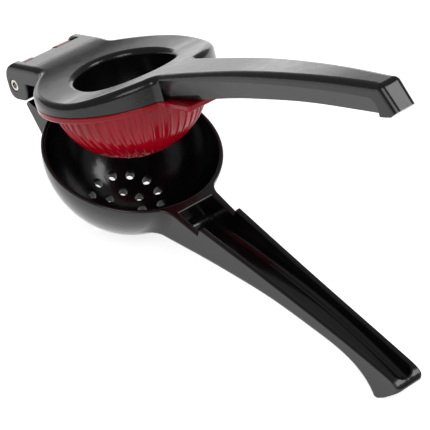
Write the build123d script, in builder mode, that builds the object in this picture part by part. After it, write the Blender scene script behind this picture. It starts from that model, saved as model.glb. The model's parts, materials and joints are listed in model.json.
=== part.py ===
from build123d import *
from math import cos, radians, sin
import os

# Hand citrus press: a lower arm with a bowl, a press cup and an upper arm, all on one hinge pin.
# World frame: origin on the table under the centre of the bowl's rim, +X towards the handle tips,
# +Y along the hinge pin, +Z up. Every outline is drawn in an arm's own frame: X runs along the
# handle from the centre of the bowl's rim, Z stands out of the rim. Closed, the frames coincide.

# ---- Driving dimensions (mm, degrees) ----
PITCH = 12.0              # the lower arm leans this far down to its heel when it stands on a table
OPENING = 30.0            # the cup and the upper arm stand open by this angle
RIM_HEIGHT = 40.0         # centre of the bowl's rim above the table

BOWL_R = 41.0             # outside of the bowl's rim
BOWL_DEPTH = 42.0         # rim to the outside of the bottom, along the bowl's axis
BOWL_WALL = 2.1           # at the rim
BOWL_FLOOR = 4.4          # at the bottom
DRAIN_R = 2.1             # drain holes in the bowl
DRAIN_ROWS = ((8.0, 6, 30.0), (16.0, 12, 15.0))   # ring radius, count and first angle

HINGE_X = -60.4           # hinge pin's axis in the arm frames
HINGE_Z = 1.7
PIN_R = 3.0
RUNNING_GAP = 0.06        # radial clearance of a turning knuckle on the pin
EAR_GAP = 0.02            # radial clearance of the ears on the pin, which turns with them
BARREL_R = 7.9            # outside of the lower arm's centre knuckle
LUG_R = 8.4               # outside of the cup's two lugs
SWING_GAP = 0.35          # between parts that swing past each other
NECK_HOLLOW_R = 10.3      # the neck is hollowed about the pin, so that the ears can swing past
HINGE_HALF = 20.4         # half the width of the hinge
EAR_INNER = 15.6          # inner faces of the upper arm's two ears
LUG_INNER = 6.9           # the cup's two lugs run from here ...
LUG_OUTER = 14.3          # ... to here
KNUCKLE_HALF = 6.6        # half the width of the lower arm's centre knuckle

FLANGE_R = 40.8
FLANGE_BOTTOM = 0.3
FLANGE_TOP = 3.2
TAB_HALF = 11.0           # half the width of the cup's front tab
TAB_END = 58.2

PRESS_X = 1.2             # axis of the cup and of the press dome, forward of the bowl's axis
CUP_R = 34.0
CUP_DEPTH = 30.5
CUP_WALL = 2.2
RIB_COUNT = 44
RIB_R = 1.6               # round ribs, half sunk in the cup's outside ...
RIB_SINK = 0.85           # ... by this much at the flange
RIB_FADE = 1.7            # ... and by this much at the bottom, where they fade out
RIB_SPAN = 56.0           # degrees of the cup's section
SLOT_ROWS = ((7.0, 6, 0.0), (13.5, 12, 15.0))     # drain holes in the cup

RING_R = 40.9             # outside of the upper arm's ring
RING_BOTTOM = 3.5
HOLE_R = 22.9             # the opening in the ring
PRESS_R = 28.5            # outside of the press dome
PRESS_DEPTH = 23.5
PRESS_WALL = 2.8
PLATE_Z = 12.0            # top of the plate between the ring and the ears
PLATE_REAR = -53.4        # its rear edge, between the ears

SOCKET_AF = 3.0           # hex sockets of the hinge pin, across flats
SCREW_R = 1.9             # thread of the hinge screw
SCREW_HEAD = 4.0          # length of its head, inside the near ear

# handle outlines: (x, half width) or (x, z)
LOWER_SIDES = ((24, 14.2), (43, 12.9), (60, 11.75), (81, 10.5), (101, 9.5), (143, 8.0), (174, 7.4))
LOWER_END = 176.6
LOW_WALLS_END = 58.6      # the walls are level with the bowl's rim up to here, and then rise
RAISED_Z = 3.9
HEEL = (163.8, 167.4)     # the heel stands on the table from one x to the other
ROOT_R = 8.0              # fillet between the lower handle and the bowl
SOFT_R = 0.9              # fillet of the lower arm's upper edges
UNDER_R = 2.5             # fillet of the lower handle's under edges
UPPER_SIDES = ((28, 12.0), (67, 10.1), (100, 9.1), (130, 7.9), (159, 6.5), (182, 5.4))
UPPER_TOP = (
    (175.0, 25.1), (150, 25.1), (120, 23.9), (90, 21.5), (62, 17.9),
    (42, 14.9), (26, 11.9), (10, 9.1), (-8, 9.0), (-28, 10.3), (-44, PLATE_Z),
)
CAST_R = 3.0              # fillet of the upper arm's upper edges
TIP_R = 2.8
HOLE_ROLL = 2.4           # rolled edge of the opening
UPPER_UNDER = ((43, RING_BOTTOM), (67, 5.9), (86, 8.7), (105, 10.6), (129, 12.2), (151, 12.3), (174, 12.1))
UPPER_HOLLOW = ((64, 10.2), (100, 9.1), (135, 7.7))
# the long recess in the handle's sides: (x, half width left at its upper edge, z of that edge)
RECESS = (
    (36, 11.0, 8.5), (67, 9.5, 14.8), (100, 8.5, 18.3), (130, 7.3, 19.8), (159, 5.9, 20.0), (174, 5.2, 19.7),
)
UPPER_WALL = 5.4          # the upper handle is hollow from below, this far inside its widest outline
RECESS_LEAN = 0.30        # the recess deepens downward by this much per mm
CHANNEL_R = 3.2           # fillet round the floor of the lower handle's channel


def arm_frame(rise, origin):
    """Frame of an arm whose handle rises by this angle above the table."""
    turn = radians(rise)
    return Plane(origin=origin, x_dir=(cos(turn), 0, sin(turn)), z_dir=(-sin(turn), 0, cos(turn)))


def side_of(frame):
    """Plane of side outlines: its own axes are the frame's X and Z, and it faces -Y."""
    return Plane(origin=frame.origin, x_dir=frame.x_dir, z_dir=-frame.y_dir)


def table_z(x):
    """Height of the table's surface in the lower arm's frame."""
    return (x * sin(radians(PITCH)) - RIM_HEIGHT) / cos(radians(PITCH))


def bowl_section(radius, depth, top, shoulder, belly, rise=0.0):
    """Half section of a round bowl below the height top. Its wall starts straight down, and rise
    carries it up past the rim."""
    Bezier((radius, top), (radius, top - shoulder * depth), (belly * radius, top - depth), (0, top - depth))
    if rise:
        Polyline((0, top - depth), (0, top + rise), (radius, top + rise), (radius, top))
    else:
        Polyline((0, top - depth), (0, top), (radius, top))


def edges_at(frame, test, steep=0.7):
    """Edges whose middle, in an arm's frame, passes the test, and that rise less than steep."""
    chosen = ShapeList()
    for edge in edges():
        middle = frame.to_local_coords(edge.center())
        rise = abs(edge.tangent_at(0.5).dot(frame.z_dir))
        if rise < steep and test(middle, edge.length):
            chosen.append(edge)
    return chosen


LOWER = arm_frame(-PITCH, (0, 0, RIM_HEIGHT))
HINGE = LOWER.from_local_coords(Vector(HINGE_X, 0, HINGE_Z))
UPPER_AT_HINGE = arm_frame(OPENING - PITCH, HINGE)
UPPER = arm_frame(OPENING - PITCH, UPPER_AT_HINGE.from_local_coords(Vector(-HINGE_X, 0, -HINGE_Z)))
PRESS = arm_frame(OPENING - PITCH, UPPER.from_local_coords(Vector(PRESS_X, 0, 0)))
LOWER_SIDE = side_of(LOWER)
UPPER_SIDE = side_of(UPPER)
PRESS_SIDE = side_of(PRESS)
PIN_PLANE = Plane(origin=HINGE, x_dir=UPPER.x_dir, z_dir=(0, -1, 0))
BOWL_AXIS = Axis(LOWER.origin, LOWER.z_dir)
PRESS_AXIS = Axis(PRESS.origin, PRESS.z_dir)
ROUND = 0.5523            # this shoulder and belly make a quarter of an ellipse


# ---- Lower arm ----
with BuildPart() as handle_blank:
    with BuildSketch(LOWER.offset(-30)):
        with BuildLine():
            side = Spline(*LOWER_SIDES)
            ThreePointArc(side @ 1, (LOWER_END - 0.7, 6.7), (LOWER_END, 4.8))
            Line((LOWER_END, 4.8), (LOWER_END, 0))
            Line(side @ 0, (LOWER_SIDES[0][0], 0))
            mirror(about=Plane.XZ)
        make_face()
    extrude(amount=50)
    with BuildSketch(LOWER_SIDE.offset(60)):
        with BuildLine():
            Polyline((20, 0), (LOW_WALLS_END, 0), (LOW_WALLS_END + 0.5, RAISED_Z))
            Spline(
                (LOW_WALLS_END + 0.5, RAISED_Z), (85, 5.6), (115, 7.4), (145, 9.0), (168, 9.8),
                (173.5, 9.3), (LOWER_END + 0.4, 7.0),
            )
            Polyline(
                (LOWER_END + 0.4, 7.0), (170.6, -2.0), (HEEL[1], table_z(HEEL[1])),
                (HEEL[0], table_z(HEEL[0])),
            )
            Spline(
                (HEEL[0], table_z(HEEL[0])), (156, -1.1), (147, 0.8), (130, 0.1), (102, -3.2),
                (82, -7.2), (60, -12.2), (40, -17.0), (24, -20.0),
            )
            Polyline((24, -20.0), (20, -20.0), (20, 0))
        make_face()
    extrude(amount=-120, mode=Mode.INTERSECT)

with BuildPart() as handle_channel:
    with BuildSketch(LOWER.offset(-30)):
        with BuildLine():
            side = Spline((43.6, 9.3), (60, 9.0), (81, 7.9), (101, 6.9), (143, 5.5), (169, 5.0))
            ThreePointArc(side @ 1, (172.3, 3.4), (173.4, 0))
            Line(side @ 0, (43.6, 0))
            mirror(about=Plane.XZ)
        make_face()
    extrude(amount=60)
    with BuildSketch(LOWER_SIDE.offset(60)):
        with BuildLine():
            Spline(
                (36, -15.0), (60, -9.6), (82, -4.6), (102, -0.6), (130, 2.6), (150, 3.2), (180, 1.6),
            )
            Polyline((180, 1.6), (180, 20), (36, 20), (36, -15.0))
        make_face()
    extrude(amount=-120, mode=Mode.INTERSECT)
    fillet(edges_at(LOWER, lambda p, size: p.Z < 9), CHANNEL_R)

with BuildPart() as neck:
    with BuildSketch(LOWER_SIDE.offset(HINGE_HALF)):
        with BuildLine():
            Polyline((-54, -0.2), (-54, 0), (-30, 0), (-30, -22), (-35, -15), (-40, -10.7), (-54, -0.2))
        make_face()
    extrude(amount=-2 * HINGE_HALF)
    with BuildSketch(PIN_PLANE.offset(60)):
        Circle(NECK_HOLLOW_R)
    extrude(amount=-120, mode=Mode.SUBTRACT)
    fillet(edges_at(LOWER, lambda p, size: abs(p.Z) < 0.1 and p.X < -48), SOFT_R)
    fillet(edges_at(LOWER, lambda p, size: p.X < -49 and p.Z < -2 and size > 30), 0.6)
    with BuildSketch(LOWER_SIDE.offset(KNUCKLE_HALF)):
        with BuildLine():
            Polyline((HINGE_X, -5.0), (-46, -7.2), (-36, -12), (-36, 0), (HINGE_X, 0), (HINGE_X, -5.0))
        make_face()
    extrude(amount=-2 * KNUCKLE_HALF)
    with BuildSketch(PIN_PLANE.offset(KNUCKLE_HALF)):
        Circle(BARREL_R)
    extrude(amount=-2 * KNUCKLE_HALF)

with BuildPart() as lower_arm:
    with BuildSketch(LOWER_SIDE):
        with BuildLine():
            bowl_section(BOWL_R, BOWL_DEPTH, 0, 0.38, 0.54)
        make_face()
    revolve(axis=BOWL_AXIS)
    add(handle_blank.part)
    fillet(edges_at(LOWER, lambda p, size: 25 < p.X < 42 and p.Z < -0.3 and size < 60, 1.1), ROOT_R)
    fillet(edges_at(LOWER, lambda p, size: abs(p.Z) < 0.02 and p.X < 58 and size > 2), SOFT_R)
    fillet(edges_at(LOWER, lambda p, size: 44 < p.X and p.Z < 5 and p.Y < -4 and size > 60), UNDER_R)
    fillet(edges_at(LOWER, lambda p, size: 60 < p.X and p.Z > 7 and abs(p.Y) > 1), SOFT_R)
    # both halves are like the half towards -Y
    split(bisect_by=Plane.XZ)
    mirror(about=Plane.XZ)
    add(neck.part)
    add(handle_channel.part, mode=Mode.SUBTRACT)
    fillet(edges_at(LOWER, lambda p, size: 60 < p.X < 174 and p.Z > 5.5 and abs(p.Y) < 6.6 and size > 1), 0.8)
    fillet(edges_at(LOWER, lambda p, size: 30 < p.X < 58.5 and abs(p.Z) < 0.05 and abs(p.Y) < 9.35), SOFT_R)
    with BuildSketch(LOWER_SIDE):
        with BuildLine():
            bowl_section(BOWL_R - BOWL_WALL, BOWL_DEPTH - BOWL_FLOOR, 0, 0.40, 0.54, rise=2.0)
        make_face()
    revolve(axis=BOWL_AXIS, mode=Mode.SUBTRACT)
    fillet(edges_at(LOWER, lambda p, size: abs(p.Z) < 0.02 and size > 240), SOFT_R)
    with BuildSketch(LOWER.offset(-60)):
        for ring, count, first in DRAIN_ROWS:
            with PolarLocations(ring, count, start_angle=first):
                Circle(DRAIN_R)
    extrude(amount=50, mode=Mode.SUBTRACT)
    with BuildSketch(PIN_PLANE):
        Circle(PIN_R + RUNNING_GAP)
    extrude(amount=30, both=True, mode=Mode.SUBTRACT)
    # the foot: the bottom is flat where it stands on the table
    with BuildSketch(Plane.XY):
        Circle(60)
    extrude(amount=-20, mode=Mode.SUBTRACT)
lower_arm.part.label = "lower_arm"

# ---- Press cup ----
with BuildPart() as rib:
    with BuildLine(Plane.XZ) as meridian:
        EllipticalCenterArc(
            (0, FLANGE_BOTTOM), CUP_R - RIB_SINK, CUP_DEPTH - RIB_FADE,
            start_angle=-RIB_SPAN, arc_size=RIB_SPAN + 3,
        )
    with BuildSketch(Plane(origin=meridian.line @ 0, z_dir=meridian.line % 0)):
        Circle(RIB_R)
    sweep()

with BuildPart() as flange:
    with BuildSketch(UPPER.offset(FLANGE_BOTTOM)):
        Circle(FLANGE_R)
        with Locations((TAB_END / 2, 0)):
            Rectangle(TAB_END, 2 * TAB_HALF)
        fillet(vertices().group_by(Axis.X)[-1], 1.5)
        corners = [v for v in vertices() if abs(Vector(v.X, v.Y).length - FLANGE_R) < 0.05]
        fillet(corners, 3)
    extrude(amount=FLANGE_TOP - FLANGE_BOTTOM)
    fillet(edges_at(UPPER, lambda p, size: size > 1), 0.7)
    with BuildSketch(UPPER.offset(FLANGE_BOTTOM)):
        for side in (-1, 1):
            with Locations((HINGE_X / 2, side * (LUG_INNER + LUG_OUTER) / 2)):
                Rectangle(-HINGE_X, LUG_OUTER - LUG_INNER)
    extrude(amount=FLANGE_TOP - FLANGE_BOTTOM)
    for inner_face in (LUG_INNER, -LUG_OUTER):
        with BuildSketch(PIN_PLANE.offset(inner_face)):
            Circle(LUG_R)
        extrude(amount=LUG_OUTER - LUG_INNER)

with BuildPart(PRESS) as press_cup:
    with BuildSketch(PRESS_SIDE):
        with BuildLine():
            bowl_section(CUP_R, CUP_DEPTH, FLANGE_BOTTOM, ROUND, ROUND)
        make_face()
    revolve(axis=PRESS_AXIS)
    with PolarLocations(0, RIB_COUNT):
        add(rib.part)
    with Locations(PRESS.location.inverse()):
        add(flange.part)
    with BuildSketch(PRESS_SIDE):
        with BuildLine():
            bowl_section(CUP_R - CUP_WALL, CUP_DEPTH - CUP_WALL, FLANGE_BOTTOM, ROUND, ROUND, rise=10)
        make_face()
    revolve(axis=PRESS_AXIS, mode=Mode.SUBTRACT)
    fillet(edges_at(UPPER, lambda p, size: p.Z > FLANGE_TOP - 0.1 and size > 190 and abs(p.Y) < 2), 0.7)
    with BuildSketch(PRESS.offset(-60)):
        for ring, count, first in SLOT_ROWS:
            with PolarLocations(ring, count, start_angle=first):
                Circle(DRAIN_R)
    extrude(amount=50, mode=Mode.SUBTRACT)
    with BuildSketch(PIN_PLANE):
        Circle(PIN_R + RUNNING_GAP)
    extrude(amount=30, both=True, mode=Mode.SUBTRACT)
press_cup.part.label = "press_cup"

# ---- Upper arm ----
with BuildPart() as side_recess:
    for level in (3, 23):
        with BuildSketch(UPPER.offset(level)):
            with BuildLine():
                outer = Spline(*[(x, -half - 8) for x, half, top in RECESS])
                inner = Spline(*[(x, RECESS_LEAN * (top - level) - half) for x, half, top in RECESS])
                Line(outer @ 0, inner @ 0)
                Line(outer @ 1, inner @ 1)
            make_face()
    loft()
    mirror(about=Plane.XZ)
    with BuildSketch(UPPER_SIDE.offset(60)):
        with BuildLine():
            upper = Spline(
                (47, 11.6), (69, 15.1), (89, 17.4), (108, 18.8), (131, 19.8), (153, 20.0), (166, 19.6),
            )
            ThreePointArc(upper @ 1, (170.4, 18.2), (171.8, 15.0))
            Polyline((171.8, 15.0), (171.8, 3), (41.8, 3), (41.8, 8.0))
            ThreePointArc((41.8, 8.0), (43.5, 10.3), upper @ 0)
        make_face()
    extrude(amount=-120, mode=Mode.INTERSECT)

with BuildPart() as under_hollow:
    with BuildSketch(UPPER.offset(-10)):
        with BuildLine():
            side = Spline(*[(x, half - UPPER_WALL) for x, half in UPPER_HOLLOW])
            Line(side @ 1, (UPPER_HOLLOW[-1][0], 0))
            Line(side @ 0, (UPPER_HOLLOW[0][0], 0))
            mirror(about=Plane.XZ)
        make_face()
    extrude(amount=60)
    with BuildSketch(UPPER_SIDE.offset(60)):
        with BuildLine():
            roof = Spline((60, 12.6), (90, 16.4), (120, 18.8), (140, 19.6))
            Polyline(roof @ 1, (140, 0), (60, 0), roof @ 0)
        make_face()
    extrude(amount=-120, mode=Mode.INTERSECT)
    fillet(edges_at(UPPER, lambda p, size: p.Z > 12.5), 1.5)

with BuildPart() as upper_arm:
    with BuildSketch(UPPER.offset(-12)):
        Circle(RING_R)
        with Locations((-48, 0)):
            Rectangle(36, 2 * HINGE_HALF)
        with BuildLine():
            side = Spline(*UPPER_SIDES)
            Line(side @ 1, (UPPER_SIDES[-1][0], 0))
            Line(side @ 0, (UPPER_SIDES[0][0], 0))
            mirror(about=Plane.XZ)
        make_face()
        corners = [v for v in vertices() if abs(Vector(v.X, v.Y).length - RING_R) < 0.05 and abs(v.Y) > 1]
        fillet(corners, 4)
    extrude(amount=50)
    with BuildSketch(UPPER_SIDE.offset(60)):
        with BuildLine():
            Spline(*UPPER_TOP, tangents=((-1, 0), (-1, 0)))
            Line((-44, PLATE_Z), (-59.5, PLATE_Z))
            ThreePointArc((-59.5, PLATE_Z), (-64.0, 8.9), (-65.8, 4.0))
            Line((-65.8, 4.0), (-65.8, -0.5))
            ThreePointArc((-65.8, -0.5), (-64.3, -4.0), (-60.8, -5.4))
            Line((-60.8, -5.4), (-55.8, -5.4))
            ThreePointArc((-55.8, -5.4), (-52.4, -3.9), (-51.0, -0.4))
            Polyline((-51.0, -0.4), (-50.6, RING_BOTTOM), UPPER_UNDER[0])
            Spline(*UPPER_UNDER)
            Polyline(UPPER_UNDER[-1], (177.8, 12.5), (181.4, 14.8), UPPER_TOP[0])
        make_face()
    extrude(amount=-120, mode=Mode.INTERSECT)
    fillet(edges_at(UPPER, lambda p, size: p.X > 174 and size > 5 and abs(p.Y) > 3, 1.1), TIP_R)
    on_top = faces().filter_by(lambda f: f.normal_at().dot(UPPER.z_dir) > 0.5 and f.area > 500)
    outline = edges_at(UPPER, lambda p, size: abs(p.Y) > 1 or p.X > 170)
    fillet(outline.filter_by(lambda e: e in on_top.edges()), CAST_R)
    fillet(edges_at(UPPER, lambda p, size: p.X < -48 and abs(p.Y) > HINGE_HALF - 0.02, 1.1), 0.8)
    with BuildSketch(UPPER_SIDE.offset(EAR_INNER)):
        with Locations((PLATE_REAR - 20, 0)):
            Rectangle(40, 60)
        with Locations((HINGE_X, HINGE_Z)):
            Circle(LUG_R + SWING_GAP)
        with Locations((-56, RING_BOTTOM - 10)):
            Rectangle(32, 20)
    extrude(amount=-2 * EAR_INNER, mode=Mode.SUBTRACT)
    add(side_recess.part, mode=Mode.SUBTRACT)
    with BuildSketch(PRESS_SIDE):
        with BuildLine():
            bowl_section(PRESS_R, PRESS_DEPTH + RING_BOTTOM, RING_BOTTOM, ROUND, ROUND, rise=1.0)
        make_face()
    revolve(axis=PRESS_AXIS)
    with BuildSketch(PRESS_SIDE):
        with BuildLine():
            bowl_section(HOLE_R, PRESS_DEPTH + RING_BOTTOM - PRESS_WALL, RING_BOTTOM, ROUND, 0.62, rise=30)
        make_face()
    revolve(axis=PRESS_AXIS, mode=Mode.SUBTRACT)
    fillet(edges_at(UPPER, lambda p, size: p.Z > 4 and abs(p.Y) < 2 and size > 100), HOLE_ROLL)
    add(under_hollow.part, mode=Mode.SUBTRACT)
    with BuildSketch(PIN_PLANE):
        Circle(PIN_R + EAR_GAP)
    extrude(amount=30, both=True, mode=Mode.SUBTRACT)
upper_arm.part.label = "upper_arm"

# ---- Hinge pin: a barrel nut and a socket screw, held in the ears ----
SCREW_SEAT = HINGE_HALF - 0.3 - SCREW_HEAD        # where the screw's head meets the barrel
with BuildPart() as hinge_barrel:
    with BuildSketch(PIN_PLANE.offset(SCREW_SEAT)):
        Circle(PIN_R)
    extrude(amount=-(SCREW_SEAT + HINGE_HALF - 0.3))
    chamfer(edges().sort_by(Axis.Y)[-1], 0.4)
    with BuildSketch(PIN_PLANE.offset(SCREW_SEAT)):
        Circle(SCREW_R)
    extrude(amount=-16, mode=Mode.SUBTRACT)
    with BuildSketch(PIN_PLANE.offset(-(HINGE_HALF - 0.3))):
        RegularPolygon(SOCKET_AF / 2, 6, major_radius=False)
    extrude(amount=2.2, mode=Mode.SUBTRACT)
hinge_barrel.part.label = "hinge_barrel"

with BuildPart() as hinge_screw:
    with BuildSketch(PIN_PLANE.offset(SCREW_SEAT)):
        Circle(PIN_R)
    extrude(amount=SCREW_HEAD)
    chamfer(edges().sort_by(Axis.Y)[0], 0.4)
    with BuildSketch(PIN_PLANE.offset(SCREW_SEAT)):
        Circle(SCREW_R - EAR_GAP)
    extrude(amount=-14)
    with BuildSketch(PIN_PLANE.offset(SCREW_SEAT + SCREW_HEAD)):
        RegularPolygon(SOCKET_AF / 2, 6, major_radius=False)
    extrude(amount=-2.4, mode=Mode.SUBTRACT)
hinge_screw.part.label = "hinge_screw"

os.makedirs("parts", exist_ok=True)
for piece in (lower_arm.part, press_cup.part, upper_arm.part, hinge_barrel.part, hinge_screw.part):
    export_step(piece, f"parts/{piece.label}.step")
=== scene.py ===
import json
import math

import bpy
from mathutils import Euler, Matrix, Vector

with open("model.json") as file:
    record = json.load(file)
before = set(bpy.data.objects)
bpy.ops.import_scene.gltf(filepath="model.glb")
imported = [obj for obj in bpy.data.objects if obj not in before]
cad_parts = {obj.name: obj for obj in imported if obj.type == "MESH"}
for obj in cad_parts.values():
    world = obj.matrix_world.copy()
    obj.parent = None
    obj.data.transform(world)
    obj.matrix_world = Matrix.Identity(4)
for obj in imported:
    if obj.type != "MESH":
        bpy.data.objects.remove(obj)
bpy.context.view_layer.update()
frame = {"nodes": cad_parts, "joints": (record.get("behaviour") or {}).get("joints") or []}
nodes = frame["nodes"]

# ---- Camera ----
# Metres, degrees, and millimetres for the lens and the sensor.
CAMERA_AT = (0.61456, -0.47386, 0.57581)
CAMERA_TURN = (53.397, 1.621, 48.524)
LENS = 176.38
SENSOR_WIDTH = 36.0
CLIP_START, CLIP_END = 0.05, 20.0

camera = bpy.data.objects.new("camera", bpy.data.cameras.new("camera"))
bpy.context.scene.collection.objects.link(camera)
camera.location = CAMERA_AT
camera.rotation_euler = Euler([math.radians(a) for a in CAMERA_TURN])
camera.data.lens = LENS
camera.data.sensor_width = SENSOR_WIDTH
camera.data.clip_start = CLIP_START
camera.data.clip_end = CLIP_END
bpy.context.scene.camera = camera

# ---- Materials ----
# Noise: (scale in features per metre, detail). Bump: (strength, distance in metres).
NOISE_MIDDLE = (0.3, 0.7)  # most of the noise falls between these two

ENAMEL_CLOUDS = (70.0, 3.0)
ENAMEL_CLOUD_STOPS = (0.35, 0.68)
ENAMEL_PATCHES = (190.0, 3.0)
ENAMEL_PEEL = (850.0, 2.0)
ENAMEL_PEEL_BUMP = (0.35, 0.00004)
ENAMEL_GRAIN = (4200.0, 1.0)
ENAMEL_GRAIN_BUMP = (0.25, 0.000012)

STEEL_RING_SCALE = 1300.0
STEEL_RING_WOBBLE = 1.5
STEEL_RING_BUMP = (0.3, 0.00002)
STEEL_SPOTS = (1200.0, 3.0)
STEEL_SPOT_STOPS = (0.3, 0.7)
STEEL_DARK = (0.52, 0.49, 0.45)
STEEL_LIGHT = (0.80, 0.78, 0.74)
STEEL_ROUGHNESS = (0.22, 0.36)


def new_material(name):
    """A node material and its Principled shader."""
    mat = bpy.data.materials.new(name)
    mat.use_nodes = True
    return mat, mat.node_tree.nodes["Principled BSDF"]


def noise(tree, coords, scale, detail):
    """Noise over the object's own coordinates."""
    node = tree.nodes.new("ShaderNodeTexNoise")
    node.inputs["Scale"].default_value = scale
    node.inputs["Detail"].default_value = detail
    tree.links.new(coords.outputs["Object"], node.inputs["Vector"])
    return node


def two_colours(tree, source, stops, first, second):
    """A colour ramp from the first colour to the second, between two stops."""
    node = tree.nodes.new("ShaderNodeValToRGB")
    for element, position, colour in zip(node.color_ramp.elements, stops, (first, second)):
        element.position = position
        element.color = (*colour, 1)
    tree.links.new(source.outputs["Fac"], node.inputs["Fac"])
    return node


def spread(tree, source, low, high):
    """The middle of a texture's range, spread between two values."""
    node = tree.nodes.new("ShaderNodeMapRange")
    node.inputs["From Min"].default_value, node.inputs["From Max"].default_value = NOISE_MIDDLE
    node.inputs["To Min"].default_value = low
    node.inputs["To Max"].default_value = high
    tree.links.new(source.outputs["Fac"], node.inputs["Value"])
    return node


def bump(tree, source, strength, distance):
    """A bump node over a texture."""
    node = tree.nodes.new("ShaderNodeBump")
    node.inputs["Strength"].default_value = strength
    node.inputs["Distance"].default_value = distance
    tree.links.new(source.outputs["Fac"], node.inputs["Height"])
    return node


def enamel(name, deep, thin, roughness, specular):
    """Fired enamel on cast metal: slightly uneven colour from deep to thin, a soft orange peel with
    a fine grain on it, and gloss that varies between the two roughness values."""
    mat, shader = new_material(name)
    tree = mat.node_tree
    coords = tree.nodes.new("ShaderNodeTexCoord")
    clouds = noise(tree, coords, *ENAMEL_CLOUDS)
    colour = two_colours(tree, clouds, ENAMEL_CLOUD_STOPS, deep, thin)
    tree.links.new(colour.outputs["Color"], shader.inputs["Base Color"])
    patches = noise(tree, coords, *ENAMEL_PATCHES)
    gloss = spread(tree, patches, *roughness)
    tree.links.new(gloss.outputs["Result"], shader.inputs["Roughness"])
    shader.inputs["Specular IOR Level"].default_value = specular
    peel = bump(tree, noise(tree, coords, *ENAMEL_PEEL), *ENAMEL_PEEL_BUMP)
    grain = bump(tree, noise(tree, coords, *ENAMEL_GRAIN), *ENAMEL_GRAIN_BUMP)
    tree.links.new(peel.outputs["Normal"], grain.inputs["Normal"])
    tree.links.new(grain.outputs["Normal"], shader.inputs["Normal"])
    return mat


def turned_steel(name, centre):
    """Nickel-plated steel, turned about an axis along Y through this point."""
    mat, shader = new_material(name)
    tree = mat.node_tree
    coords = tree.nodes.new("ShaderNodeTexCoord")
    shift = tree.nodes.new("ShaderNodeMapping")
    shift.inputs["Location"].default_value = [-c for c in centre]
    tree.links.new(coords.outputs["Object"], shift.inputs["Vector"])
    rings = tree.nodes.new("ShaderNodeTexWave")
    rings.wave_type = "RINGS"
    rings.rings_direction = "Y"
    rings.inputs["Scale"].default_value = STEEL_RING_SCALE
    rings.inputs["Distortion"].default_value = STEEL_RING_WOBBLE
    tree.links.new(shift.outputs["Vector"], rings.inputs["Vector"])
    spots = noise(tree, coords, *STEEL_SPOTS)
    colour = two_colours(tree, spots, STEEL_SPOT_STOPS, STEEL_DARK, STEEL_LIGHT)
    tree.links.new(colour.outputs["Color"], shader.inputs["Base Color"])
    gloss = spread(tree, rings, *STEEL_ROUGHNESS)
    tree.links.new(gloss.outputs["Result"], shader.inputs["Roughness"])
    grooves = bump(tree, rings, *STEEL_RING_BUMP)
    tree.links.new(grooves.outputs["Normal"], shader.inputs["Normal"])
    shader.inputs["Metallic"].default_value = 1.0
    return mat


def paint(obj, mat):
    """This material alone on the object."""
    obj.data.materials.clear()
    obj.data.materials.append(mat)


pin_at = next(j["pos_m"] for j in frame["joints"] if j["name"] == "cup_hinge")
black = enamel(
    "black_enamel",
    deep=(0.0030, 0.0030, 0.0036),
    thin=(0.0050, 0.0050, 0.0056),
    roughness=(0.13, 0.20),
    specular=0.5,
)
red = enamel(
    "red_enamel",
    deep=(0.24, 0.0008, 0.007),
    thin=(0.32, 0.0016, 0.010),
    roughness=(0.10, 0.17),
    specular=0.24,
)
steel = turned_steel("pin_steel", pin_at)

paint(nodes["lower_arm"], black)
paint(nodes["upper_arm"], black)
paint(nodes["press_cup"], red)
paint(nodes["hinge_barrel"], steel)
paint(nodes["hinge_screw"], steel)

# ---- Floor ----
# The floor gives off light of its own, which keeps it white and lifts the shadows on it.
FLOOR_SIZE = 8
FLOOR_GREY = 0.96
FLOOR_GLOW = 0.75
FLOOR_ROUGHNESS = 0.9
FLOOR_SPECULAR = 0.1

bpy.ops.mesh.primitive_plane_add(size=FLOOR_SIZE, location=(0, 0, 0))
floor = bpy.context.object
floor.name = "floor"
floor_mat, floor_shader = new_material("floor")
floor_shader.inputs["Base Color"].default_value = (FLOOR_GREY, FLOOR_GREY, FLOOR_GREY, 1)
floor_shader.inputs["Emission Color"].default_value = (1, 1, 1, 1)
floor_shader.inputs["Emission Strength"].default_value = FLOOR_GLOW
floor_shader.inputs["Roughness"].default_value = FLOOR_ROUGHNESS
floor_shader.inputs["Specular IOR Level"].default_value = FLOOR_SPECULAR
paint(floor, floor_mat)

# ---- Lights ----
WORLD_STRENGTH = 0.28

world = bpy.data.worlds.new("studio")
world.use_nodes = True
background = world.node_tree.nodes["Background"]
background.inputs["Color"].default_value = (1, 1, 1, 1)
background.inputs["Strength"].default_value = WORLD_STRENGTH
bpy.context.scene.world = world


def softbox(name, at, towards, size, radiance):
    """A rectangular softbox, width by height in metres, as bright to look at whatever its size."""
    light = bpy.data.lights.new(name, "AREA")
    light.shape = "RECTANGLE"
    light.size, light.size_y = size
    light.energy = radiance * math.pi * size[0] * size[1]
    obj = bpy.data.objects.new(name, light)
    bpy.context.scene.collection.objects.link(obj)
    obj.location = at
    obj.rotation_euler = (Vector(towards) - Vector(at)).to_track_quat("-Z", "Y").to_euler()


softbox("front", at=(0.95, -0.95, 1.25), towards=(0.05, 0, 0), size=(0.9, 0.9), radiance=3.0)
softbox("right", at=(0.80, 0.65, 1.00), towards=(0.15, 0, 0.12), size=(0.55, 0.55), radiance=4.6)
# Two long strips behind the press, one above the other, for the highlights along its edges.
STRIP_SIZE = (1.5, 0.22)
STRIPS_FACE = (0, 0, 0.08)
softbox("back_low", (-1.20, 0.76, 0.11), STRIPS_FACE, STRIP_SIZE, radiance=1.55)
softbox("back_high", (-1.24, 0.78, 0.33), STRIPS_FACE, STRIP_SIZE, radiance=0.45)

bpy.context.scene.view_settings.view_transform = "Standard"
